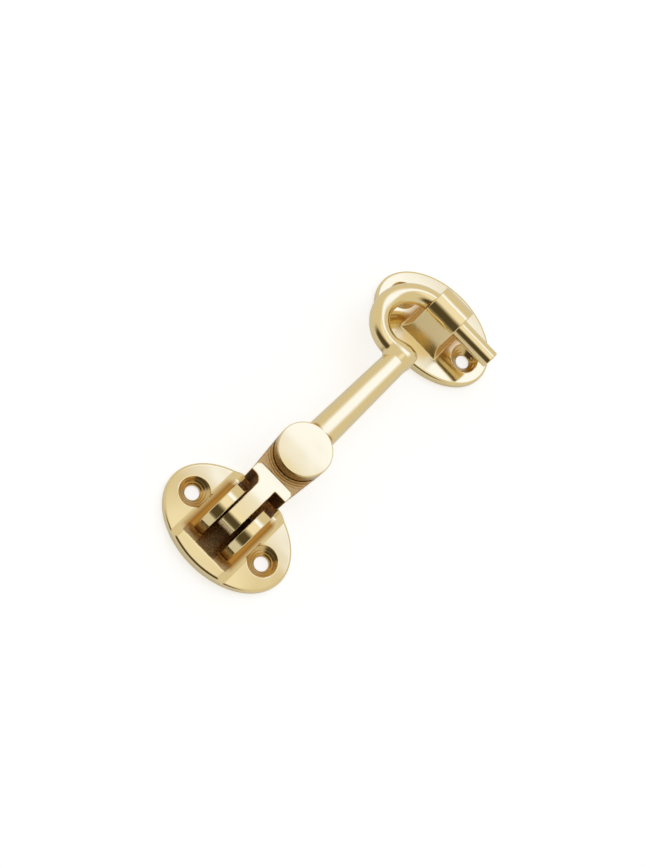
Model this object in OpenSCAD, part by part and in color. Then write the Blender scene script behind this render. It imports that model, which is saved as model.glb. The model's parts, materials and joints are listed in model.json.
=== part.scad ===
// Swivel cabin hook with a barrel eye, cast in brass. Sizes are in millimetres.
// The origin is the middle of the hook plate's back. +X points to the eye and +Z stands off the wall.

/* [Plates] */
// Length of each oval plate, across the hook
plate_len = 46.4; // [44:0.1:60]
// Width of each oval plate, along the hook
plate_w = 32.2; // [30:0.1:40]
// Thickness of each plate at its crown
plate_t = 4; // [3.4:0.1:5]
// Radius of the crowned top of each plate
crown_r = 170; // [140:5:400]
// Distance between the two screw holes of a plate
screw_pitch = 30.4; // [30:0.1:33]
// Diameter of a screw hole
screw_d = 4.7; // [3:0.1:5.2]
// Diameter of a countersink at its mouth
csk_d = 10; // [8:0.1:10.6]

/* [Hook plate] */
// Height of the plate pin's axis above the back
pin_h = 14.5; // [14:0.1:18]
// Diameter of the plate pin
pin_d = 5; // [4:0.1:6]
// Radius of the lugs about the plate pin
lug_r = 8.4; // [7.5:0.1:9.5]
// Draft of a lug: how far each side of its foot stands outside its round top
lug_draft = 0.3; // [0.1:0.1:0.8]
// Thickness of one lug
lug_t = 3.4; // [3:0.05:4]
// Width of the slot between the lugs
slot_w = 7.5; // [7:0.1:8.4]
// Height of the pad under the lugs, above the back
pad_h = 5.5; // [5:0.1:6]
// Length of the pad's level top, along the hook
pad_len = 23.4; // [20:0.1:26]
// Fall of the bevel at each end of the pad, from its level top to the rim
bevel_drop = 1.4; // [0.8:0.1:2]
// Width of the pad's level top, across the hook
pad_w = 18; // [16.5:0.1:18.4]
// Radius of the coves along the pad's two sides
cove_r = 1.8; // [1.2:0.1:2]

/* [Swivel link] */
// Width of the tongue between the lugs
tongue_w = 5.6; // [5:0.1:6.4]
// Radius of the tongue's round end, which is half the height of the link
link_r = 5.2; // [4.5:0.1:6]
// Distance from the plate pin to the front of the crossbar
bar_x = 12.5; // [11:0.1:14]
// Depth of the crossbar, along the hook
bar_t = 3.9; // [3:0.1:5]
// Width of the crossbar
bar_w = 14.3; // [12:0.1:16]
// Chamfer on the crossbar's two rear corners
bar_chamfer = 1; // [0.5:0.1:1.5]
// Radius of the fillet where the tongue meets the crossbar, on the side of the hook's bend
tongue_fillet = 2.6; // [1:0.1:3]
// Distance from the plate pin to the swivel pin
swivel_x = 29.2; // [27.5:0.1:34]
// Radius of the ear, and of the disc that turns on it
ear_r = 8.8; // [8:0.1:10]
// Chamfer round the top of the disc
disc_chamfer = 0.4; // [0.2:0.1:0.8]
// Diameter of the swivel pin
swivel_d = 5; // [4:0.1:6]

/* [Hook arm] */
// Distance from the plate pin to the axis of the hook's tip
reach = 100.4; // [90:0.1:130]
// Diameter of the rod where it leaves the disc
rod_d = 10.2; // [9:0.1:10.3]
// Diameter of the rod at its elbow
elbow_d = 8.5; // [7.5:0.1:9]
// Distance from the corner of the rod's and riser's axes to the elbow's blunt point
elbow_point = 5.2; // [4.6:0.1:5.8]
// Diameter of the bent part of the hook
hook_d = 6.8; // [6:0.1:7.2]
// Diameter of the hook at the end of its tip
tip_d = 6.2; // [5:0.1:6.6]
// Bend radius at the elbow side of the hook
bend_near = 10.6; // [9.5:0.1:11]
// Bend radius at the tip side of the hook
bend_far = 12.3; // [11.5:0.1:13]
// Distance from the rod's axis to the far side of the bend
hook_rise = 15.8; // [15:0.1:18]
// Length of the tip past the barrel
tip_past = 15.4; // [8:0.1:20]
// Chamfer round the end of the tip
tip_chamfer = 0.4; // [0.2:0.1:1]

/* [Eye plate] */
// Outer diameter of the barrel
barrel_d = 12.6; // [12.2:0.1:14]
// Bore of the barrel
bore_d = 8.8; // [8.6:0.1:9.4]
// Length of the barrel
barrel_len = 12; // [10:0.1:13]
// Width of the web's foot, along the barrel
web_w = 15.5; // [14:0.1:17]
// Depth of the web's foot, along the hook
web_d = 17.6; // [15:0.1:20]
// Height of the flare above the plate's crown
flare_h = 6.2; // [4:0.1:7]

/* [Fits] */
// Share of the tongue's side play in the slot that is taken up at rest, towards the hook's bend
side_lie = 0.5; // [0:0.05:0.9]
// Clearance round the plate pin in the tongue, and round the swivel pin in the ear
pin_clear = 0.05; // [0.02:0.01:0.1]
// Gap between the ear and the disc
lap_gap = 0.2; // [0.1:0.05:0.4]
// Gap between the ear's rim and the rod's lower half as it swings
swing_gap = 1.4; // [1:0.1:2]
// Gap between the hook and the barrel's bore where the hook rests
seat_gap = 0.35; // [0.3:0.05:0.6]
// Direction in which the hook rests in the bore, below the level
seat_angle = 75; // [60:1:90]

/* [Hidden] */
$fn = 96;
plate_sides = 96;
overlap = 1;
inset = 0.15;

lugs_w = slot_w + 2 * lug_t;
lie = side_lie * (slot_w - tongue_w) / 2;
lap_low = pin_h - lap_gap / 2;
lap_high = pin_h + lap_gap / 2;
link_low = pin_h - link_r;
link_high = pin_h + link_r;
bar_back = bar_x + bar_t;
rod_cut_r = ear_r + swing_gap;

elbow_x = reach - bend_near - bend_far;
riser_d = elbow_d - 2 * inset;
near_y = hook_rise - bend_near;
far_y = hook_rise - bend_far;
tip_end = -barrel_len / 2 - tip_past;

seat_off = (bore_d - hook_d) / 2 - seat_gap;
eye_x = reach + seat_off * cos(seat_angle);
barrel_h = pin_h + seat_off * sin(seat_angle);
web_low = plate_t - overlap;
flare_top = plate_t + flare_h;
flare_in = (web_w - barrel_len) / 2;
flare_r = (flare_h * flare_h + flare_in * flare_in) / (2 * flare_in);

brass = [0.84, 0.69, 0.36];
worn_brass = [0.72, 0.58, 0.30];

// Height of a plate's crowned top at a distance from its middle
function crown_z(d) = plate_t - crown_r + sqrt(crown_r * crown_r - d * d);

// Points round a plate's oval outline
function oval() = [
    for (i = [0 : plate_sides - 1])
        let (a = i * 360 / plate_sides)
        [plate_w / 2 * cos(a), plate_len / 2 * sin(a)]
];

// An outline drawn in X and Z, given a width about the middle plane
module across(width) {
    translate([0, width / 2, 0])
        rotate([90, 0, 0])
            linear_extrude(width) children();
}

// An outline drawn in Y and Z, given a length about the YZ plane
module along(length) {
    translate([-length / 2, 0, 0])
        rotate([90, 0, 90])
            linear_extrude(length) children();
}

// A round pin or hole along Y, about the middle plane
module cross_pin(d, length) {
    rotate([90, 0, 0])
        cylinder(d = d, h = length, center = true);
}

// An oval plate with a crowned top
module crowned_plate() {
    intersection() {
        linear_extrude(plate_t) polygon(oval());
        translate([0, 0, plate_t - crown_r]) sphere(r = crown_r, $fn = 200);
    }
}

// The two countersunk screw holes of a plate
module screw_holes() {
    mouth_z = crown_z(screw_pitch / 2);
    cone_h = (csk_d - screw_d) / 2;
    for (s = [-1, 1])
        translate([0, s * screw_pitch / 2, 0]) {
            translate([0, 0, -overlap])
                cylinder(d = screw_d, h = plate_t + 2 * overlap);
            translate([0, 0, mouth_z - cone_h])
                cylinder(d1 = screw_d, d2 = csk_d + 2 * overlap, h = cone_h + overlap);
        }
}

// The pad under the lugs: level on top, bevelled to the rim at both ends, with a cove along each side
module pad() {
    half = pad_w / 2 + cove_r;
    foot_z = crown_z(norm([pad_len / 2, half]));
    rim_z = pad_h - bevel_drop;
    intersection() {
        across(2 * half)
            polygon([
                [-plate_w / 2, 0], [-plate_w / 2, rim_z], [-pad_len / 2, pad_h],
                [pad_len / 2, pad_h], [plate_w / 2, rim_z], [plate_w / 2, 0]
            ]);
        along(plate_w)
            difference() {
                translate([-half, 0]) square([2 * half, pad_h]);
                for (s = [-1, 1])
                    translate([s * half, foot_z + cove_r]) circle(cove_r);
            }
        linear_extrude(pad_h) polygon(oval());
    }
}

// The two lugs before the slot is cut between them
module lug_block() {
    top = lug_r - inset;
    foot = lug_r + lug_draft;
    across(lugs_w) {
        translate([0, pin_h]) circle(lug_r);
        polygon([[-foot, pad_h - overlap], [foot, pad_h - overlap], [top, pin_h], [-top, pin_h]]);
    }
}

module hook_plate() {
    color(brass)
        difference() {
            union() {
                crowned_plate();
                pad();
                lug_block();
            }
            translate([0, 0, pad_h + lug_r + pin_h])
                cube([2 * (lug_r + lug_draft + overlap), slot_w, 2 * (lug_r + pin_h)], center = true);
            translate([0, 0, pin_h]) cross_pin(pin_d, lugs_w + 2 * overlap);
            screw_holes();
        }
}

module plate_pin() {
    color(worn_brass)
        translate([0, 0, pin_h]) cross_pin(pin_d, lugs_w);
}

// The tongue: a bar with a round end about the plate pin
module tongue() {
    translate([0, 0, pin_h])
        across(tongue_w) {
            circle(link_r);
            translate([0, -link_r]) square([bar_x + overlap, 2 * link_r]);
        }
}

// The crossbar in plan, with chamfered rear corners and a fillet on one side of the tongue
module crossbar_plan() {
    w = bar_w / 2;
    c = bar_chamfer;
    polygon([
        [bar_x, -w], [bar_back - c, -w], [bar_back, c - w],
        [bar_back, w - c], [bar_back - c, w], [bar_x, w]
    ]);
    difference() {
        translate([bar_x - tongue_fillet, tongue_w / 2 - inset])
            square([tongue_fillet + inset, tongue_fillet + inset]);
        translate([bar_x - tongue_fillet, tongue_w / 2 + tongue_fillet])
            circle(tongue_fillet);
    }
}

// The ear in plan: a round end about the swivel pin, and a neck that widens to it
module ear_plan() {
    neck_x = bar_x + bar_t / 2;
    translate([swivel_x, 0]) circle(ear_r);
    polygon([
        [neck_x, -bar_w / 2], [swivel_x, inset - ear_r],
        [swivel_x, ear_r - inset], [neck_x, bar_w / 2]
    ]);
}

module swivel_link() {
    color(brass)
        translate([0, lie, 0])
            difference() {
                union() {
                    tongue();
                    translate([0, 0, link_low]) linear_extrude(2 * link_r) crossbar_plan();
                    translate([0, 0, link_low]) linear_extrude(lap_low - link_low) ear_plan();
                }
                translate([0, 0, pin_h]) cross_pin(pin_d + 2 * pin_clear, bar_w);
                translate([swivel_x, 0, link_low - overlap])
                    cylinder(d = swivel_d + 2 * pin_clear, h = 2 * link_r);
            }
}

module swivel_pin() {
    color(worn_brass)
        translate([swivel_x, lie, link_low])
            cylinder(d = swivel_d, h = 2 * link_r);
}

// The tapered rod from the swivel pin, and its pointed elbow: what rod and riser would share past their corner
module rod() {
    translate([swivel_x, 0, pin_h])
        rotate([0, 90, 0]) cylinder(d1 = rod_d, d2 = elbow_d, h = elbow_x - swivel_x);
    translate([elbow_x, 0, pin_h])
        intersection() {
            rotate([0, 90, 0]) cylinder(d = elbow_d, h = elbow_d);
            rotate([90, 0, 0]) cylinder(d = riser_d, h = elbow_d);
            cylinder(r = elbow_point, h = elbow_d, center = true);
        }
}

// The hook past the elbow: a riser, two quarter bends and the tip, all on the rod's level
module hook_bend() {
    translate([elbow_x, 0, pin_h])
        rotate([-90, 0, 0]) cylinder(d1 = riser_d, d2 = hook_d, h = near_y);
    translate([elbow_x + bend_near, near_y, pin_h])
        rotate([0, 0, 90])
            rotate_extrude(angle = 90) translate([bend_near, 0]) circle(d = hook_d);
    translate([reach - bend_far, far_y, pin_h])
        rotate_extrude(angle = 90) translate([bend_far, 0]) circle(d = hook_d);
    tip_len = far_y - tip_end;
    translate([reach, far_y, pin_h])
        rotate([90, 0, 0])
            rotate_extrude()
                polygon([
                    [0, 0], [hook_d / 2, 0], [tip_d / 2, tip_len - tip_chamfer],
                    [tip_d / 2 - tip_chamfer, tip_len], [0, tip_len]
                ]);
}

// The round disc that laps the ear, with a chamfered top
module disc() {
    side_h = link_high - lap_high - disc_chamfer;
    cylinder(r = ear_r, h = side_h);
    translate([0, 0, side_h]) cylinder(r1 = ear_r, r2 = ear_r - disc_chamfer, h = disc_chamfer);
}

module hook_arm() {
    color(brass)
        translate([0, lie, 0])
            difference() {
                union() {
                    translate([swivel_x, 0, lap_high]) disc();
                    difference() {
                        rod();
                        translate([swivel_x, 0, link_low - overlap])
                            cylinder(r = rod_cut_r, h = lap_high - link_low + overlap);
                    }
                    hook_bend();
                }
                translate([swivel_x, 0, link_low])
                    cylinder(d = swivel_d, h = 2 * link_r + overlap);
            }
}

// The web of the eye: sloped front and rear, with flanks that flare out to the plate
module eye_web() {
    top = barrel_d / 2 - inset;
    intersection() {
        across(web_w)
            polygon([[-web_d / 2, web_low], [web_d / 2, web_low], [top, barrel_h], [-top, barrel_h]]);
        along(web_d)
            difference() {
                translate([-web_w / 2, web_low]) square([web_w, barrel_h - web_low]);
                for (s = [-1, 1]) {
                    translate([s * (barrel_len / 2 + flare_r), flare_top]) circle(flare_r);
                    translate([s * (barrel_len / 2 + flare_r) - flare_r, flare_top])
                        square([2 * flare_r, barrel_h]);
                }
            }
    }
}

module eye_plate() {
    color(brass)
        translate([eye_x, 0, 0])
            difference() {
                union() {
                    crowned_plate();
                    eye_web();
                    translate([0, 0, barrel_h]) cross_pin(barrel_d, barrel_len);
                }
                translate([0, 0, barrel_h]) cross_pin(bore_d, web_w);
                screw_holes();
            }
}

hook_plate();
plate_pin();
swivel_link();
swivel_pin();
hook_arm();
eye_plate();
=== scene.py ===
import json
import math

import bpy
import numpy as np
from mathutils import Matrix, Vector


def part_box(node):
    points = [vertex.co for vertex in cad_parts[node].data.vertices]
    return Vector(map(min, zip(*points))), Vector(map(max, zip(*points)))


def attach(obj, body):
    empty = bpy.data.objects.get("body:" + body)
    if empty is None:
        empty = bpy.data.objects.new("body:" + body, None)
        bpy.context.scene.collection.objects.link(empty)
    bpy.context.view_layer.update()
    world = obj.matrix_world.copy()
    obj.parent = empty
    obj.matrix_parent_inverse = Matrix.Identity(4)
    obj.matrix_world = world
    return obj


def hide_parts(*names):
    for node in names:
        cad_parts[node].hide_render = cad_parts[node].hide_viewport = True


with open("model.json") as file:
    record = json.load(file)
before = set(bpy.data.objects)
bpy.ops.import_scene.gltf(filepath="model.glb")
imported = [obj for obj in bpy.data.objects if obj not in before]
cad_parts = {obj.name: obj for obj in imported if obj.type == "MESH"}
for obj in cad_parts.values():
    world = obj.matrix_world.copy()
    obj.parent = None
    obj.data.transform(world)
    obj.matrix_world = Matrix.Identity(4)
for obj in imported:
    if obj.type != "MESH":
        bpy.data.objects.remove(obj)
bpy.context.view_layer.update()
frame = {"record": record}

# Sizes are in millimetres. Those that the frame holds are read from it.
MM = 0.001
joints = {j["name"]: j for j in frame["record"]["behaviour"]["joints"]}
mounts = {m["name"]: m for m in frame["record"]["mounts"]}


def node_box(name):
    """A node's lowest and highest corners, in millimetres."""
    low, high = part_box(name)
    return low / MM, high / MM


plate_low, plate_high = node_box("hook_plate")
link_low, link_high = node_box("swivel_link")
arm_low, arm_high = node_box("hook_arm")
eye_low, eye_high = node_box("eye_plate")

PIN_H = joints["plate_hinge"]["pos_m"][2] / MM
SWIVEL_X = joints["arm_swivel"]["pos_m"][0] / MM
LIE = joints["arm_swivel"]["pos_m"][1] / MM
EYE_X = mounts["eye_plate_back"]["pos_m"][0] / MM
SCREW_PITCH = mounts["hook_plate_screws"]["dims"]["spacing_y_mm"]
SCREW_R = mounts["hook_plate_screws"]["dims"]["hole_r_mm"]

# Plates
PLATE_W = plate_high.x - plate_low.x
PLATE_LEN = plate_high.y - plate_low.y
PLATE_T = 4
CROWN_R = 170
CROWN_FLAT = 0.7
RIM_R = 0.9
BACK_R = 0.3
CSK_R = 5
CSK_EDGE = 0.12

# Clevis of the hook plate
LUG_R = plate_high.z - PIN_H
LUG_DRAFT = 0.3
LUG_T = 3.4
SLOT_W = 7.5
LUGS_W = SLOT_W + 2 * LUG_T
PAD_H = 5.5
PAD_LEN = 23.4
PAD_EDGE = 0.2
PAD_SPREAD = 0.6
PAD_W = 18
BEVEL_DROP = 1.4
COVE_R = 1.8
LUG_EDGE = 0.35
LUG_FOOT = 0.4

# Swivel link, whose top is worn a little round by polishing
LINK_R = (link_high.z - link_low.z) / 2
TONGUE_W = 5.6
TONGUE_FILLET = 2.6
TONGUE_SHARP = 0.3
BAR_X = 12.5
BAR_T = 3.9
BAR_W = 14.3
BAR_CHAMFER = 1
EAR_R = link_high.x - SWIVEL_X
LAP_GAP = 0.2
LINK_EDGE = 0.3
LINK_WEAR_X = 3
LINK_WEAR_R = 130

# Hook arm
HOOK_D = 6.8
TIP_D = 6.2
ROD_D = 10.2
ELBOW_D = 8.5
BEND_NEAR = 10.6
BEND_FAR = 12.3
REACH = arm_high.x - HOOK_D / 2
HOOK_RISE = arm_high.y - LIE - HOOK_D / 2
TIP_END = arm_low.y - LIE
ELBOW_X = REACH - BEND_NEAR - BEND_FAR
ELBOW_POINT = 5
ELBOW_FILLET = 1.6
TIP_EDGE = 0.5
DISC_EDGE = 0.4
DISC_FOOT = 0.1
DISC_WEAR_R = 260
DISC_LEAN = 3
SWING_GAP = 1.4

# Eye plate
BARREL_R = 6.3
BORE_R = 4.4
BARREL_LEN = 12
BARREL_H = eye_high.z - BARREL_R
BARREL_EDGE = 0.45
WEB_W = 15.5
WEB_D = 17.6
FLARE_H = 6.2

# Pins: the plate pin is flush at both ends, and the polished disc hides the swivel pin's upper end
PIN_R = 2.5
PIN_PLAY = 0.03
PIN_EDGE = 0.2
PIN_COVER = 0.6
HOLE_EDGE = 0.12

# Skins: the points' spacing, how they are drawn onto a form, and how far off it a recess is felt
SKIN_STEP = 0.22
DRAW_PASSES = 5
LEAST_SLOPE = 0.05
PROBE = 0.02
RECESS_REACH = (1, 2, 3.5)

# Sums: a distance beyond every form, a guard under roots, and the slope of a 45 degree face
FAR = 99
TINY = 1e-12
DIAGONAL = math.sqrt(0.5)


# Forms: each is a signed distance, below zero in the metal

def meet(a, b, r=0.0):
    """The space inside both forms, with the edge between them rounded to a radius."""
    if r == 0:
        return np.maximum(a, b)
    return np.minimum(-r, np.maximum(a, b)) + np.hypot(np.maximum(a + r, 0), np.maximum(b + r, 0))


def join(a, b, r=0.0):
    """The space inside either form, with a fillet of a radius in the corner between them."""
    return -meet(-a, -b, r)


def cut(a, b, r=0.0):
    """The first form with the second taken out of it, and the edge rounded to a radius."""
    return meet(a, -b, r)


def crowned_oval(x, y, z, lift=0):
    """An oval plate, flat behind and crowned in front, with a rounded rim. Its front may be lifted."""
    a, b = PLATE_W / 2, PLATE_LEN / 2
    share = np.sqrt((x / a) ** 2 + (y / b) ** 2 + TINY)
    slope = np.sqrt((x / a ** 2) ** 2 + (y / b ** 2) ** 2 + TINY)
    rim = share * (share - 1) / slope
    crown = np.sqrt((CROWN_FLAT * x) ** 2 + y ** 2 + (z - lift - PLATE_T + CROWN_R) ** 2) - CROWN_R
    return meet(meet(rim, crown, RIM_R), -z, BACK_R)


def crown_z(d):
    """Height of a plate's crowned front at a distance from its middle."""
    return PLATE_T - CROWN_R + math.sqrt(CROWN_R ** 2 - d ** 2)


def screw_holes(x, y, z):
    """The two holes of a plate with their countersinks."""
    reach = np.hypot(x, np.abs(y) - SCREW_PITCH / 2)
    neck_z = crown_z(SCREW_PITCH / 2) - (CSK_R - SCREW_R)
    cone = (reach - SCREW_R - (z - neck_z)) * DIAGONAL
    return np.maximum(np.minimum(reach - SCREW_R, cone), z - PLATE_T)


def hook_plate_form(x, y, z):
    """The oval plate, the bevelled pad that swells out of its front, and the clevis's two lugs."""
    side = np.abs(y)
    past = np.abs(x) - PAD_LEN / 2
    bevel = (past + np.hypot(past, PAD_EDGE)) / 2 * BEVEL_DROP / (PLATE_W / 2 - PAD_LEN / 2)
    front = PLATE_T - ((CROWN_FLAT * x) ** 2 + y ** 2) / (2 * CROWN_R)
    swell = np.clip((PAD_W / 2 + COVE_R + PAD_SPREAD - side) / (COVE_R + 2 * PAD_SPREAD), 0, 1)
    lift = (PAD_H - bevel - front) * swell ** 2 * (3 - 2 * swell)
    plate = crowned_oval(x, y, z, lift)
    drafted = np.abs(x) - LUG_R - LUG_DRAFT * (PIN_H - z) / (PIN_H - PAD_H)
    tombstone = np.where(z > PIN_H, np.hypot(x, z - PIN_H) - LUG_R, np.maximum(drafted, PLATE_T / 2 - z))
    lugs = meet(tombstone, np.abs(side - SLOT_W / 2 - LUG_T / 2) - LUG_T / 2, LUG_EDGE)
    lugs = cut(lugs, np.hypot(x, z - PIN_H) - PIN_R, HOLE_EDGE)
    return cut(join(plate, lugs, LUG_FOOT), screw_holes(x, y, z), CSK_EDGE)


def swivel_link_form(x, y, z):
    """The tongue with its round end, the crossbar across it, and the half-thick ear."""
    y = y - LIE
    worn = np.maximum(x - LINK_WEAR_X, 0) ** 2 / (2 * LINK_WEAR_R)
    height = np.maximum(z - PIN_H - LINK_R + worn, PIN_H - LINK_R - z)
    nose = np.where(x < 0, np.hypot(x, z - PIN_H) - LINK_R, height)
    tongue = np.maximum(np.abs(y) - TONGUE_W / 2, x - BAR_X - BAR_T / 2)
    bar = np.maximum(np.abs(x - BAR_X - BAR_T / 2) - BAR_T / 2, np.abs(y) - BAR_W / 2)
    corner = (x - BAR_X - BAR_T + np.abs(y) - BAR_W / 2 + BAR_CHAMFER) * DIAGONAL
    bar = meet(bar, corner)
    plan = np.where(y > 0, join(tongue, bar, TONGUE_FILLET), join(tongue, bar, TONGUE_SHARP))
    tee = meet(plan, nose, LINK_EDGE)
    tee = cut(tee, np.hypot(x, z - PIN_H) - PIN_R, HOLE_EDGE)
    neck_x = BAR_X + BAR_T / 2
    widen = np.clip((x - neck_x) / (SWIVEL_X - neck_x), 0, 1)
    neck = np.abs(y) - BAR_W / 2 - widen * (EAR_R - BAR_W / 2)
    neck = np.maximum(np.maximum(neck, x - SWIVEL_X), neck_x - x)
    ear = np.minimum(np.hypot(x - SWIVEL_X, y) - EAR_R, neck)
    ear = meet(meet(ear, z - PIN_H + LAP_GAP / 2, LINK_EDGE), PIN_H - LINK_R - z, LINK_EDGE)
    ear = cut(ear, np.hypot(x - SWIVEL_X, y) - PIN_R, HOLE_EDGE)
    return join(tee, ear, LINK_EDGE)


def hook_arm_form(x, y, z):
    """The disc, the tapered rod, the pointed elbow, the bend and the tip."""
    y = y - LIE
    up = z - PIN_H
    turn = np.hypot(x - SWIVEL_X, y)
    worn = ((x - SWIVEL_X + DISC_LEAN) ** 2 + y ** 2) / (2 * DISC_WEAR_R)
    disc = meet(turn - EAR_R, up - LINK_R + worn, DISC_EDGE)
    disc = meet(disc, LAP_GAP / 2 - up, LINK_EDGE)
    along = np.clip((x - SWIVEL_X) / (ELBOW_X - SWIVEL_X), 0, 1)
    rod_r = (ROD_D + along * (ELBOW_D - ROD_D)) / 2
    past, below = np.maximum(x - ELBOW_X, 0), np.maximum(-y, 0)
    corner = (past ** ELBOW_POINT + below ** ELBOW_POINT + TINY) ** (1 / ELBOW_POINT)
    off_axis = np.where((past > 0) & (below > 0), corner, np.hypot(past, y))
    rod = np.maximum(np.hypot(off_axis, up) - rod_r, SWIVEL_X + EAR_R / 2 - x)
    relief = np.maximum(turn - EAR_R - SWING_GAP, up - LAP_GAP / 2)
    rod = cut(rod, relief, LINK_EDGE)

    near_y, far_y = HOOK_RISE - BEND_NEAR, HOOK_RISE - BEND_FAR
    riser_r = (ELBOW_D + np.clip(y / near_y, 0, 1) * (HOOK_D - ELBOW_D)) / 2
    riser = np.hypot(np.hypot(x - ELBOW_X, y - np.clip(y, 0, near_y)), up) - riser_r
    mid_x = ELBOW_X + BEND_NEAR
    near = np.hypot(np.hypot(x - mid_x, y - near_y) - BEND_NEAR, up)
    near = np.where((x <= mid_x) & (y >= near_y), near, FAR)
    far = np.hypot(np.hypot(x - mid_x, y - far_y) - BEND_FAR, up)
    far = np.where((x >= mid_x) & (y >= far_y), far, FAR)
    bend = np.minimum(near, far) - HOOK_D / 2
    run = np.clip((far_y - y) / (far_y - TIP_END), 0, 1)
    tip = np.hypot(x - REACH, up) - (HOOK_D + run * (TIP_D - HOOK_D)) / 2
    tip = np.maximum(meet(tip, TIP_END - y, TIP_EDGE), y - far_y)
    hook = np.minimum(np.minimum(join(rod, riser, ELBOW_FILLET), bend), tip)
    arm = join(hook, disc, DISC_FOOT)
    return cut(arm, np.maximum(turn - PIN_R, up - LINK_R + PIN_COVER), HOLE_EDGE)


def eye_plate_form(x, y, z):
    """The oval plate, and the flared web on it whose sloped front runs into the bored barrel."""
    x = x - EYE_X
    side = np.abs(y)
    rise = BARREL_H - PLATE_T
    lean = math.acos(BARREL_R / math.hypot(WEB_D / 2, rise)) - math.atan2(rise, WEB_D / 2)
    front = np.abs(x) * math.cos(lean) + (z - BARREL_H) * math.sin(lean) - BARREL_R
    web = np.maximum(front, z - BARREL_H - BARREL_R * math.sin(lean))
    barrel = np.hypot(x, z - BARREL_H) - BARREL_R
    flare_in = (WEB_W - BARREL_LEN) / 2
    flare_r = (FLARE_H ** 2 + flare_in ** 2) / (2 * flare_in)
    flare_top = PLATE_T + FLARE_H
    hollow = flare_r - np.hypot(side - BARREL_LEN / 2 - flare_r, z - flare_top)
    flank = np.where(z > flare_top, side - BARREL_LEN / 2, np.maximum(hollow, side - WEB_W))
    post = np.maximum(meet(np.minimum(web, barrel), flank, BARREL_EDGE), PLATE_T / 2 - z)
    eye = join(crowned_oval(x, y, z), post, LUG_FOOT)
    bore = np.hypot(x, z - BARREL_H) - BORE_R
    return cut(cut(eye, bore, BARREL_EDGE), screw_holes(x, y, z), CSK_EDGE)


# How far a face's normal turns to an axis, for telling level faces, walls and slopes apart
LEVEL = 0.8
SQUARE = 0.7
LEANING = 0.6
SLOPING = 0.5
STEEP = 0.3


def ear_top(x, y, z, n):
    """Where a point is on the link's ear, which is faced by a cutter about the swivel's axis."""
    return (n[2] > LEVEL) & (x > BAR_X + BAR_T) & (np.abs(z - PIN_H) < LINK_EDGE)


# Where a polishing wheel doesn't reach, a casting keeps its dark skin, and the same dark skin is painted as
# shade under and between parts and as a dark reflection on the lugs' backs: 1 there, 0 on polished metal
SLOT_SKIN_AND_SHADE = 0.85
PAD_SKIN = 0.6
BAR_SKIN = 0.88
NOSE_SKIN = 0.35
EAR_SKIN_AND_SHADE = 0.15
DISC_SKIN = 0.45


def hook_plate_cast(x, y, z, n):
    """The slot, as skin and painted shade between the lugs, the lugs' backs, painted dark as a reflection
    of the crossbar's front, and what lies behind them, painted as the shade under the crossbar, and in part
    the pad in front of them.
    """
    # Painted shade in the slot between the lugs, a painted dark reflection on the lugs' backs, and painted
    # shade under the crossbar, besides the casting's skin
    walls = (np.abs(y) < SLOT_W / 2 + LUG_EDGE) & (np.abs(n[1]) > SQUARE) & (z > PAD_H)
    backs = (n[0] > LEANING) & (z > PAD_H + PAD_EDGE)
    pad = (np.abs(z - PAD_H) < PAD_EDGE) & (n[2] > LEVEL) & (np.abs(x) < PAD_LEN / 2 - PAD_EDGE)
    floor = pad & (np.abs(y) < SLOT_W / 2)
    under = (x > LUG_R) & (np.abs(y) < LUGS_W / 2) & (z > PLATE_T) & (n[2] > LEVEL)
    partly = np.where(floor, SLOT_SKIN_AND_SHADE, (pad & (x < -LUG_R)) * PAD_SKIN)
    return np.where(walls | backs | under, 1.0, partly)


def swivel_link_cast(x, y, z, n):
    """The tongue's sides and the bar's front, painted dark as shade between the lugs and under the
    crossbar, and in part the bar's back, the ear's top, as skin and painted shade under the disc, and the
    nose.
    """
    # Painted shade on the tongue's sides between the lugs and on the crossbar's front
    sides = (np.abs(n[1]) > SQUARE) & (x < BAR_X)
    front = (n[0] < -SQUARE) & (x > BAR_X - TONGUE_FILLET)
    upper = (z > PIN_H - LINK_EDGE) & (z < PIN_H + LINK_R - 2 * LINK_EDGE)
    back = upper & (x > BAR_X + BAR_T - LINK_EDGE)
    nose = (x < 0) & (z < PIN_H + LINK_R / 2)
    partly = np.where(ear_top(x, y, z, n), EAR_SKIN_AND_SHADE, np.where(back, BAR_SKIN, nose * NOSE_SKIN))
    return np.where(sides | front, 1.0, partly)


def hook_arm_cast(x, y, z, n):
    """The disc's underside and the rod's end round the ear, as skin and painted shade under the disc, and
    in part the disc's edge.
    """
    # Painted shade under the disc, besides the casting's skin
    near = np.hypot(x - SWIVEL_X, y - LIE) < EAR_R + SWING_GAP + LINK_EDGE
    edge = near & (x < SWIVEL_X) & (n[2] < STEEP)
    return np.where(near & (z < PIN_H + LINK_EDGE), 1.0, edge * DISC_SKIN)


def eye_plate_cast(x, y, z, n):
    """The barrel's bore, as skin and painted shade inside it."""
    return (np.hypot(x - EYE_X, z - BARREL_H) < BORE_R + BARREL_EDGE / 2) * 1.0


# Old polish stays in the recesses as an amber film, and painted shade and amber reflection are laid in with
# it, from one share of hollowness on and full at another
FILM_AND_SHADE_START = 0.05
FILM_AND_SHADE_FULL = 0.32
EAR_FILM_AND_SHADE = 0.75 * FILM_AND_SHADE_FULL
CSK_FILM_AND_SHADE = 0.5 * FILM_AND_SHADE_FULL
WEB_FRONT_FILM_AND_SHADE = 0.15
BESIDE_WEB = 4.5
FILM_AND_SHADE_FADE = 2.5


def in_recesses(x, y, z, n, recess):
    """Wherever the form is hollow."""
    return recess


def countersunk(x, y, recess):
    """No more than half the film and painted shade in a plate's countersinks."""
    inside = np.hypot(x, np.abs(y) - SCREW_PITCH / 2) < CSK_R + CSK_EDGE
    return np.where(inside, np.minimum(recess, CSK_FILM_AND_SHADE), recess)


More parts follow.
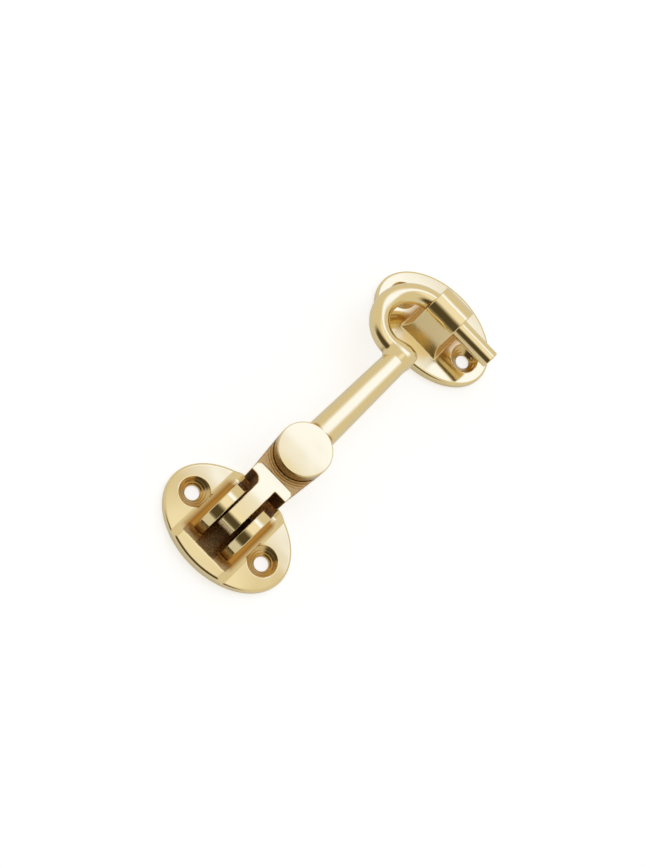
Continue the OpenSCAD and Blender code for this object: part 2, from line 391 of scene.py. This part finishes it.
def hook_plate_film_and_shade(x, y, z, n, recess):
    """Also a painted amber reflection of the lugs on the pad beside them, fading down its swell and to its
    ends, and wider on the left.
    """
    side = np.abs(y)
    edge = PAD_W / 2 + COVE_R + np.where(y > 0, PAD_SPREAD, 0)
    pad = (np.abs(x) < PAD_LEN / 2) & (side > LUGS_W / 2) & (n[2] > SLOPING) & (z < PAD_H + PAD_EDGE)
    # A painted amber reflection of the lugs' sides on the pad beside them
    painted_reflection = pad * np.clip((edge - side) / (edge - PAD_W / 2), 0, 1)
    painted_reflection = painted_reflection * np.clip((PAD_LEN / 2 - np.abs(x)) / FILM_AND_SHADE_FADE, 0, 1) * FILM_AND_SHADE_FULL
    return np.maximum(countersunk(x, y, recess), painted_reflection)


def swivel_link_film_and_shade(x, y, z, n, recess):
    """Also on the ear's top, as film and painted shade under the disc, though thinner."""
    return np.where(ear_top(x, y, z, n), EAR_FILM_AND_SHADE, recess)


def eye_plate_film_and_shade(x, y, z, n, recess):
    """Also a painted amber reflection on the plate beside the web, and less film in front of it, where it
    is open to the wheel.
    """
    side = np.abs(y)
    front = (x < EYE_X) & (side < WEB_W / 2) & (z < BARREL_H - BARREL_R / 2)
    level = (n[2] > LEVEL) & (side > WEB_W / 2)
    # A painted amber reflection on the plate beside the web
    painted_reflection = level * np.clip((WEB_W / 2 + BESIDE_WEB - side) / BESIDE_WEB, 0, 1)
    painted_reflection = painted_reflection * np.clip((WEB_D / 2 - np.abs(x - EYE_X)) / FILM_AND_SHADE_FADE, 0, 1) * FILM_AND_SHADE_FULL
    return np.where(front, recess * WEB_FRONT_FILM_AND_SHADE, np.maximum(countersunk(x - EYE_X, y, recess), painted_reflection))


# Where the wheel only brushes past, the metal is satin, and turned faces keep rings about an axis
FOOT_SATIN = 1.5
SATIN_BESIDE = 1.5
SATIN_DROP = 1


def nowhere(x, y, z, n):
    """No part of a casting."""
    return x * 0


def eye_plate_satin(x, y, z, n):
    """The web below its barrel, and the plate in front of its foot, soon bright again to the sides."""
    web = (z > PLATE_T + LUG_FOOT) & (z < BARREL_H - SATIN_DROP) & (np.abs(y) < WEB_W)
    level = (n[2] > LEVEL) & (z < BARREL_H - BARREL_R)
    ahead = np.clip(2 - (EYE_X - WEB_D / 2 - x) / BESIDE_WEB, 0, 1)
    beside = np.clip(1 - (np.abs(y) - WEB_W / 2) / SATIN_BESIDE, 0, 1)
    foot = level * (x < EYE_X) * ahead * beside * FOOT_SATIN
    return np.maximum(web & (np.abs(n[2]) < LEANING), foot)


def hook_plate_turned(x, y, z, n):
    """The two countersinks, and the distance from a screw's axis."""
    off_axis = np.hypot(x, np.abs(y) - SCREW_PITCH / 2)
    cone = (off_axis > SCREW_R + CSK_EDGE) & (off_axis < CSK_R - CSK_EDGE) & (n[2] > STEEP)
    return cone, off_axis


def eye_plate_turned(x, y, z, n):
    """The same for the eye plate."""
    return hook_plate_turned(x - EYE_X, y, z, n)


def swivel_link_turned(x, y, z, n):
    """The ear's faced top, and the distance from the swivel's axis."""
    return ear_top(x, y, z, n), np.hypot(x - SWIVEL_X, y - LIE)


def hook_arm_turned(x, y, z, n):
    """No part of the arm."""
    return nowhere(x, y, z, n), x


# Meshes

def gradient(form, points):
    """The slope of a form at each point."""
    steps = np.eye(3) * PROBE
    return np.stack([form(*(points + s).T) - form(*(points - s).T) for s in steps], 1) / (2 * PROBE)


def skin(name, form, low, high, step):
    """A closed mesh on a form: a point in each cell of a grid that its surface crosses, drawn onto it."""
    axes = [np.arange(a - 2 * step, b + 3 * step, step) for a, b in zip(low, high)]
    inside = form(*np.meshgrid(*axes, indexing="ij", sparse=True)) < 0
    solid = np.broadcast_to(inside, [len(a) for a in axes])
    corners = sum(solid[i:i - 1 or None, j:j - 1 or None, k:k - 1 or None].astype(np.int8)
                  for i in (0, 1) for j in (0, 1) for k in (0, 1))
    crossed = (corners > 0) & (corners < 8)
    number = np.full(crossed.shape, -1)
    number[crossed] = np.arange(crossed.sum())
    middle = np.stack([a[i] + step / 2 for a, i in zip(axes, np.nonzero(crossed))], 1)
    points = middle.copy()
    for _ in range(DRAW_PASSES):
        slope = gradient(form, points)
        points -= slope * (form(*points.T) / np.maximum((slope ** 2).sum(1), LEAST_SLOPE))[:, None]
        points = np.clip(points, middle - step, middle + step)
    quads = []
    for axis in range(3):
        order = (axis, (axis + 1) % 3, (axis + 2) % 3)
        s = np.moveaxis(solid, order, (0, 1, 2))
        n = np.moveaxis(number, order, (0, 1, 2))
        i, j, k = np.nonzero(s[:-1, 1:-1, 1:-1] != s[1:, 1:-1, 1:-1])
        ring = np.stack([n[i, j, k], n[i, j + 1, k], n[i, j + 1, k + 1], n[i, j, k + 1]], 1)
        outward = s[i, j + 1, k + 1]
        quads.append(np.where(outward[:, None], ring, ring[:, ::-1]))
    mesh = bpy.data.meshes.new(name)
    mesh.from_pydata((points * MM).tolist(), [], np.concatenate(quads).tolist())
    mesh.shade_smooth()
    slope = gradient(form, points)
    normals = slope / np.linalg.norm(slope, axis=1)[:, None]
    mesh.normals_split_custom_set_from_vertices(normals.tolist())
    piece = bpy.data.objects.new(name, mesh)
    bpy.context.scene.collection.objects.link(piece)
    return piece, points, normals


def store(piece, name, values):
    """Keeps a value for each point of a piece, for its material to read."""
    layer = piece.data.attributes.new(name, "FLOAT", "POINT")
    layer.data.foreach_set("value", np.asarray(values, np.float32))


# Materials

def linear(code):
    """An sRGB hex colour as linear values."""
    parts = [int(code[i:i + 2], 16) / 255 for i in (1, 3, 5)]
    return [c / 12.92 if c <= 0.04045 else ((c + 0.055) / 1.055) ** 2.4 for c in parts] + [1]


def per_mm(size):
    """The texture scale at which a pattern's features are about a size in millimetres."""
    return 1 / (size * MM)


def add(tree, kind, links=None, **settings):
    """Adds a node with its settings, values and links. A node given as a value stands for its output."""
    node = tree.nodes.new(kind)
    for name, value in settings.items():
        setattr(node, name, value)
    for socket, value in (links or {}).items():
        if isinstance(value, bpy.types.Node):
            value = next(output for output in value.outputs if output.enabled)
        if isinstance(value, bpy.types.NodeSocket):
            tree.links.new(value, node.inputs[socket])
        else:
            node.inputs[socket].default_value = value
    return node


def new_material(name):
    """An empty material and its node tree."""
    material = bpy.data.materials.new(name)
    material.use_nodes = True
    material.node_tree.nodes.clear()
    return material, material.node_tree


# Patterns in the brass. Buffing lines and turning rings are drawn coarser than real ones, so that they show
WAVE_SIZE, WAVE_DEPTH = 12, 0.2
GRAIN_SIZE, GRAIN_DEPTH = 0.8, 0.3
BUFF_LENGTH, BUFF_GAP, BUFF_DEPTH = 9, 0.35, 0.02
TURNING_PITCH, TURNING_DEPTH = 0.8, 0.05
DENT_SIZE, DENT_DEPTH = 1.5, 0.2


def cast_brass():
    """Cast brass: a pale gold mirror where polished, amber in the recesses from old polish and painted
    shade and reflection, brown and grainy as cast and where shade is painted under and between parts.
    """
    material, tree = new_material("polished_cast_brass")
    place = add(tree, "ShaderNodeTexCoord").outputs["Object"]
    felt = {name: add(tree, "ShaderNodeAttribute", attribute_name=name).outputs["Fac"]
            for name in ("recess", "cast", "satin", "ringed", "off_axis")}

    # Colour: old polish and tarnish, with painted shade and amber reflection, turn a recess amber, and the
    # casting's skin, also painted as shade under and between parts, is a speckled brown
    speckle = add(tree, "ShaderNodeTexNoise", {
        "Vector": place, "Scale": per_mm(GRAIN_SIZE), "Detail": 4.0, "Roughness": 0.7})
    grain = add(tree, "ShaderNodeMapRange", {"Value": speckle, "From Min": 0.32, "From Max": 0.72})
    # Painted shade and amber reflection in the hollows, with old polish, from how hollow the form is
    film_and_shade = add(tree, "ShaderNodeMapRange", {
        "Value": felt["recess"], "From Min": FILM_AND_SHADE_START, "From Max": FILM_AND_SHADE_FULL, "To Max": 0.95})
    bright = add(tree, "ShaderNodeMix", {
        "Factor": film_and_shade, "A": linear("#F3E0AE"), "B": linear("#AC7622")}, data_type="RGBA")
    skin_tone = add(tree, "ShaderNodeMix", {
        "Factor": grain, "A": linear("#2A190C"), "B": linear("#A5703C")}, data_type="RGBA")
    colour = add(tree, "ShaderNodeMix", {
        # The brown skin, which also paints the shade under and between parts
        "Factor": felt["cast"], "A": bright, "B": skin_tone}, data_type="RGBA")

    # Roughness: a mirror with a faint buffing haze, duller under the film and its painted shade, where
    # satin, and on the cast skin together with the shade painted as skin
    wave = add(tree, "ShaderNodeTexNoise", {"Vector": place, "Scale": per_mm(WAVE_SIZE), "Detail": 1.0})
    rough = add(tree, "ShaderNodeMapRange", {
        "Value": wave, "From Min": 0.3, "From Max": 0.7, "To Min": 0.09, "To Max": 0.13})
    for share, more in ((film_and_shade, 0.08), (felt["satin"], 0.12), (felt["cast"], 0.3)):
        rough = add(tree, "ShaderNodeMath", {0: share, 1: more, 2: rough}, operation="MULTIPLY_ADD")

    # Relief: hand polishing leaves faces a little wavy, with fine buffing lines, and turning leaves rings
    stretch = Vector((1 / BUFF_LENGTH, 1 / BUFF_GAP, 1 / BUFF_LENGTH))
    lines_at = add(tree, "ShaderNodeVectorMath", {0: place, 1: stretch}, operation="MULTIPLY")
    lines = add(tree, "ShaderNodeTexNoise", {"Vector": lines_at, "Scale": per_mm(1), "Detail": 1.0})
    line_strength = add(tree, "ShaderNodeMath", {
        0: felt["satin"], 1: 0.5, 2: 0.15}, operation="MULTIPLY_ADD")
    angle = add(tree, "ShaderNodeMath", {
        0: felt["off_axis"], 1: 2 * math.pi / TURNING_PITCH}, operation="MULTIPLY")
    circles = add(tree, "ShaderNodeMath", {0: angle}, operation="SINE")
    rings = add(tree, "ShaderNodeMath", {0: circles, 1: felt["ringed"]}, operation="MULTIPLY")
    grit = add(tree, "ShaderNodeMath", {0: grain, 1: felt["cast"]}, operation="MULTIPLY")
    relief = add(tree, "ShaderNodeBump", {"Height": wave, "Distance": WAVE_DEPTH * MM, "Strength": 1.0})
    for height, depth, strength in ((lines, BUFF_DEPTH, line_strength), (rings, TURNING_DEPTH, 0.25),
                                    (grit, GRAIN_DEPTH, 0.7)):
        relief = add(tree, "ShaderNodeBump", {
            "Height": height, "Distance": depth * MM, "Strength": strength, "Normal": relief})
    shader = add(tree, "ShaderNodeBsdfPrincipled", {
        "Base Color": colour, "Metallic": 1.0, "Roughness": rough, "Normal": relief})
    add(tree, "ShaderNodeOutputMaterial", {"Surface": shader})
    return material


def drawn_brass():
    """Drawn brass rod: satin gold ends, peened and polished, and a dark, dull brown shank between them,
    inside the holes.
    """
    material, tree = new_material("drawn_brass")
    place = add(tree, "ShaderNodeTexCoord").outputs["Object"]
    shank_share = add(tree, "ShaderNodeAttribute", attribute_name="barrel").outputs["Fac"]
    dents = add(tree, "ShaderNodeTexNoise", {"Vector": place, "Scale": per_mm(DENT_SIZE), "Detail": 3.0})
    ends = add(tree, "ShaderNodeMix", {
        "Factor": dents, "A": linear("#D9BE86"), "B": linear("#F0DBAA")}, data_type="RGBA")
    # Darker and duller along the shank, away from the rounded ends
    colour = add(tree, "ShaderNodeMix", {
        "Factor": shank_share, "A": ends, "B": linear("#33210F")}, data_type="RGBA")
    polish = add(tree, "ShaderNodeMapRange", {
        "Value": dents, "From Min": 0.3, "From Max": 0.7, "To Min": 0.16, "To Max": 0.28})
    rough = add(tree, "ShaderNodeMath", {0: shank_share, 1: 0.3, 2: polish}, operation="MULTIPLY_ADD")
    relief = add(tree, "ShaderNodeBump", {"Height": dents, "Distance": DENT_DEPTH * MM, "Strength": 0.3})
    shader = add(tree, "ShaderNodeBsdfPrincipled", {
        "Base Color": colour, "Metallic": 1.0, "Roughness": rough, "Normal": relief})
    add(tree, "ShaderNodeOutputMaterial", {"Surface": shader})
    return material


# Rivets
RIVET_STEPS = 161
RIVET_SIDES = 64


def rivet_tree(material):
    """A round pin between two points, with its end edges rounded over."""
    tree = bpy.data.node_groups.new("rivet", "GeometryNodeTree")
    for name, kind in (("Start", "NodeSocketVector"), ("End", "NodeSocketVector"),
                       ("Radius", "NodeSocketFloat"), ("Edge", "NodeSocketFloat")):
        tree.interface.new_socket(name, in_out="INPUT", socket_type=kind)
    tree.interface.new_socket("Geometry", in_out="OUTPUT", socket_type="NodeSocketGeometry")
    sizes = add(tree, "NodeGroupInput").outputs
    axis = add(tree, "GeometryNodeCurvePrimitiveLine", {"Start": sizes["Start"], "End": sizes["End"]})
    steps = add(tree, "GeometryNodeResampleCurve", {"Curve": axis, "Count": RIVET_STEPS})

    # How deep a step lies from the nearer end, and how much of the edge's rounding is still to come there
    length = add(tree, "ShaderNodeVectorMath", {0: sizes["Start"], 1: sizes["End"]}, operation="DISTANCE")
    place = add(tree, "GeometryNodeSplineParameter").outputs["Length"]
    rest = add(tree, "ShaderNodeMath", {0: length, 1: place}, operation="SUBTRACT")
    depth = add(tree, "ShaderNodeMath", {0: place, 1: rest}, operation="MINIMUM")
    short = add(tree, "ShaderNodeMath", {0: sizes["Edge"], 1: depth}, operation="SUBTRACT")
    short = add(tree, "ShaderNodeMath", {0: short, 1: 0.0}, operation="MAXIMUM")

    # The radius there: a core, and a quarter circle round the edge
    edge_square = add(tree, "ShaderNodeMath", {0: sizes["Edge"], 1: 2.0}, operation="POWER")
    short_square = add(tree, "ShaderNodeMath", {0: short, 1: 2.0}, operation="POWER")
    arc = add(tree, "ShaderNodeMath", {0: edge_square, 1: short_square}, operation="SUBTRACT")
    arc = add(tree, "ShaderNodeMath", {0: arc}, operation="SQRT")
    core = add(tree, "ShaderNodeMath", {0: sizes["Radius"], 1: sizes["Edge"]}, operation="SUBTRACT")
    radius = add(tree, "ShaderNodeMath", {0: core, 1: arc}, operation="ADD")

    in_hole = add(tree, "ShaderNodeMath", {0: depth, 1: sizes["Edge"]}, operation="GREATER_THAN")
    marked = add(tree, "GeometryNodeStoreNamedAttribute", {
        "Geometry": steps, "Name": "barrel", "Value": in_hole})
    ring = add(tree, "GeometryNodeCurvePrimitiveCircle", {"Resolution": RIVET_SIDES, "Radius": 1.0})
    body = add(tree, "GeometryNodeCurveToMesh", {
        "Curve": marked, "Profile Curve": ring, "Scale": radius, "Fill Caps": True})
    real = add(tree, "GeometryNodeRealizeInstances", {0: body})
    dressed = add(tree, "GeometryNodeSetMaterial", {"Geometry": real, "Material": material})
    add(tree, "NodeGroupOutput", {0: dressed})
    return tree


def rivet(name, tree, start, end):
    """One pin as a plain mesh."""
    maker = bpy.data.objects.new(name, bpy.data.meshes.new(name))
    bpy.context.scene.collection.objects.link(maker)
    modifier = maker.modifiers.new("rivet", "NODES")
    modifier.node_group = tree
    sizes = {"Start": Vector(start) * MM, "End": Vector(end) * MM, "Radius": (PIN_R - PIN_PLAY) * MM,
             "Edge": PIN_EDGE * MM}
    for socket in tree.interface.items_tree:
        if socket.in_out == "INPUT":
            modifier[socket.identifier] = sizes[socket.name]
    made = maker.evaluated_get(bpy.context.evaluated_depsgraph_get())
    mesh = bpy.data.meshes.new_from_object(made)
    maker.modifiers.remove(modifier)
    maker.data = mesh
    mesh.shade_smooth()
    return maker


# Pieces

brass = cast_brass()
castings = {
    "hook_plate": ("hook_base", plate_low, plate_high, hook_plate_form,
                   hook_plate_film_and_shade, hook_plate_cast, nowhere, hook_plate_turned),
    "swivel_link": ("link", link_low, link_high, swivel_link_form,
                    swivel_link_film_and_shade, swivel_link_cast, nowhere, swivel_link_turned),
    "hook_arm": ("hook", arm_low, arm_high, hook_arm_form,
                 in_recesses, hook_arm_cast, nowhere, hook_arm_turned),
    "eye_plate": ("eye", eye_low, eye_high, eye_plate_form,
                  eye_plate_film_and_shade, eye_plate_cast, eye_plate_satin, eye_plate_turned),
}
for node, (body, low, high, form, film_and_shade, cast, satin, turned) in castings.items():
    piece, points, normals = skin(f"{node}_casting", form, low, high, SKIN_STEP)
    # How hollow each point is, for the amber film of old polish and painted shade and reflection
    hollow = [1 - np.clip(form(*(points + normals * r).T) / r, 0, 1) for r in RECESS_REACH]
    store(piece, "recess", film_and_shade(*points.T, normals.T, sum(hollow) / len(hollow)))
    # The casting's skin, with shade painted as skin under and between parts
    store(piece, "cast", cast(*points.T, normals.T))
    store(piece, "satin", satin(*points.T, normals.T))
    ringed, off_axis = turned(*points.T, normals.T)
    store(piece, "ringed", ringed)
    store(piece, "off_axis", off_axis)
    piece.data.materials.append(brass)
    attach(piece, body)
    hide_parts(node)

rivets = rivet_tree(drawn_brass())
plate_pin = rivet("plate_rivet", rivets, (0, -LUGS_W / 2, PIN_H), (0, LUGS_W / 2, PIN_H))
swivel_top = PIN_H + LINK_R - PIN_COVER - PIN_PLAY
swivel_pin = rivet("swivel_rivet", rivets, (SWIVEL_X, LIE, PIN_H - LINK_R), (SWIVEL_X, LIE, swivel_top))
for piece, node, body in ((plate_pin, "plate_pin", "hook_base"), (swivel_pin, "swivel_pin", "hook")):
    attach(piece, body)
    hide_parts(node)


# Stage: white paper, its reach in metres, in a light room with a lamp, a softbox and a dark side
FLOOR_REACH = 4
FLOOR_DROP = 0.1
PAPER_GLOW, PAPER_SHEEN = 0.59, 0.25
ROOM_LIGHT = (0.75, 0.70, 0.58, 1)
LAMP_LIGHT = (0.98, 0.97, 0.94, 1)
SOFTBOX_LIGHT = (1.13, 1.3, 1.95, 1)
DARK_SIDE_LIGHT = (0.085, 0.068, 0.036, 1)

# Each light's soft edges: a direction, and the shares along it where the light starts and where it is full
LAMP_EDGES = (("above", 0.9, 0.97),)
SOFTBOX_EDGES = (("ahead", 0.3, 0.44), ("ahead", 0.74, 0.5), ("above", 0.09, 0.59), ("aside", 0.75, 0.3))
DARK_SIDE_EDGES = (("ahead", -0.32, -0.66), ("above", -0.3, 0.3), ("aside", 0.9, 0.55))


def white_paper():
    """White paper, lifted to white where it is seen, which keeps a faint shadow."""
    material, tree = new_material("white_paper")
    path = add(tree, "ShaderNodeLightPath").outputs
    mirrored = add(tree, "ShaderNodeMath", {
        0: path["Is Glossy Ray"], 1: path["Is Transmission Ray"]}, operation="MAXIMUM")
    sheen = add(tree, "ShaderNodeMath", {0: mirrored, 1: PAPER_SHEEN}, operation="MULTIPLY")
    lift = add(tree, "ShaderNodeMath", {
        0: path["Is Camera Ray"], 1: PAPER_GLOW, 2: sheen}, operation="MULTIPLY_ADD")
    matt = add(tree, "ShaderNodeBsdfDiffuse", {"Color": linear("#D6D6D6")})
    glow = add(tree, "ShaderNodeEmission", {"Color": linear("#FFFFFF"), "Strength": lift})
    both = add(tree, "ShaderNodeAddShader", {0: matt, 1: glow})
    add(tree, "ShaderNodeOutputMaterial", {"Surface": both})
    return material


def studio():
    """The room's light: pale and warm, with a wide cool softbox, a lamp overhead and a dark side."""
    world = bpy.data.worlds.new("studio")
    world.use_nodes = True
    tree = world.node_tree
    tree.nodes.clear()
    view = add(tree, "ShaderNodeTexCoord").outputs["Generated"]
    ahead, across, above = add(tree, "ShaderNodeSeparateXYZ", {0: view}).outputs
    aside = add(tree, "ShaderNodeMath", {0: across}, operation="ABSOLUTE")
    directions = {"ahead": ahead, "aside": aside, "above": above}
    light = ROOM_LIGHT
    for colour, edges in ((LAMP_LIGHT, LAMP_EDGES), (SOFTBOX_LIGHT, SOFTBOX_EDGES),
                          (DARK_SIDE_LIGHT, DARK_SIDE_EDGES)):
        share = 1.0
        for direction, start, full in edges:
            edge = add(tree, "ShaderNodeMapRange", {
                "Value": directions[direction], "From Min": start, "From Max": full},
                interpolation_type="SMOOTHSTEP")
            share = add(tree, "ShaderNodeMath", {0: share, 1: edge}, operation="MULTIPLY")
        light = add(tree, "ShaderNodeMix", {"Factor": share, "A": light, "B": colour}, data_type="RGBA")
    room = add(tree, "ShaderNodeBackground", {"Color": light, "Strength": 1.0})
    white = add(tree, "ShaderNodeBackground", {"Color": linear("#FFFFFF"), "Strength": 1.0})
    seen = add(tree, "ShaderNodeLightPath").outputs["Is Camera Ray"]
    either = add(tree, "ShaderNodeMixShader", {0: seen, 1: room, 2: white})
    add(tree, "ShaderNodeOutputWorld", {"Surface": either})
    return world


floor_mesh = bpy.data.meshes.new("floor")
corners = [(-FLOOR_REACH, -FLOOR_REACH, 0), (FLOOR_REACH, -FLOOR_REACH, 0),
           (FLOOR_REACH, FLOOR_REACH, 0), (-FLOOR_REACH, FLOOR_REACH, 0)]
floor_mesh.from_pydata(corners, [], [(0, 1, 2, 3)])
floor_mesh.materials.append(white_paper())
floor = bpy.data.objects.new("floor", floor_mesh)
floor.location.z = -FLOOR_DROP * MM
bpy.context.scene.collection.objects.link(floor)
bpy.context.scene.world = studio()


# Camera: beyond the hook plate, looking down along the arm, and rolled so that the arm climbs to the right
CAMERA_AZ, CAMERA_EL, CAMERA_ROLL = math.radians(-90.05), math.radians(66.0), math.radians(45.83)
CAMERA_DIST = 404.77
CAMERA_TARGET = Vector((42.33, -0.31, 8))
FOCAL_PX, FRAME_W = 1288.87, 650
level = Vector((math.cos(CAMERA_AZ), math.sin(CAMERA_AZ), 0))
out = Vector((math.sin(CAMERA_AZ), -math.cos(CAMERA_AZ), 0))
back = out * math.cos(CAMERA_EL) + Vector((0, 0, math.sin(CAMERA_EL)))
rise = back.cross(level)
right = level * math.cos(CAMERA_ROLL) + rise * math.sin(CAMERA_ROLL)
up = rise * math.cos(CAMERA_ROLL) - level * math.sin(CAMERA_ROLL)
lens = bpy.data.cameras.new("photo_camera")
lens.sensor_fit = "HORIZONTAL"
lens.sensor_width = 36
lens.lens = FOCAL_PX / FRAME_W * lens.sensor_width
lens.clip_start = 0.01
camera = bpy.data.objects.new("photo_camera", lens)
bpy.context.scene.collection.objects.link(camera)
turn = Matrix((right, up, back)).transposed().to_4x4()
camera.matrix_world = Matrix.Translation((CAMERA_TARGET + back * CAMERA_DIST) * MM) @ turn
bpy.context.scene.camera = camera
bpy.context.scene.view_settings.view_transform = "Standard"
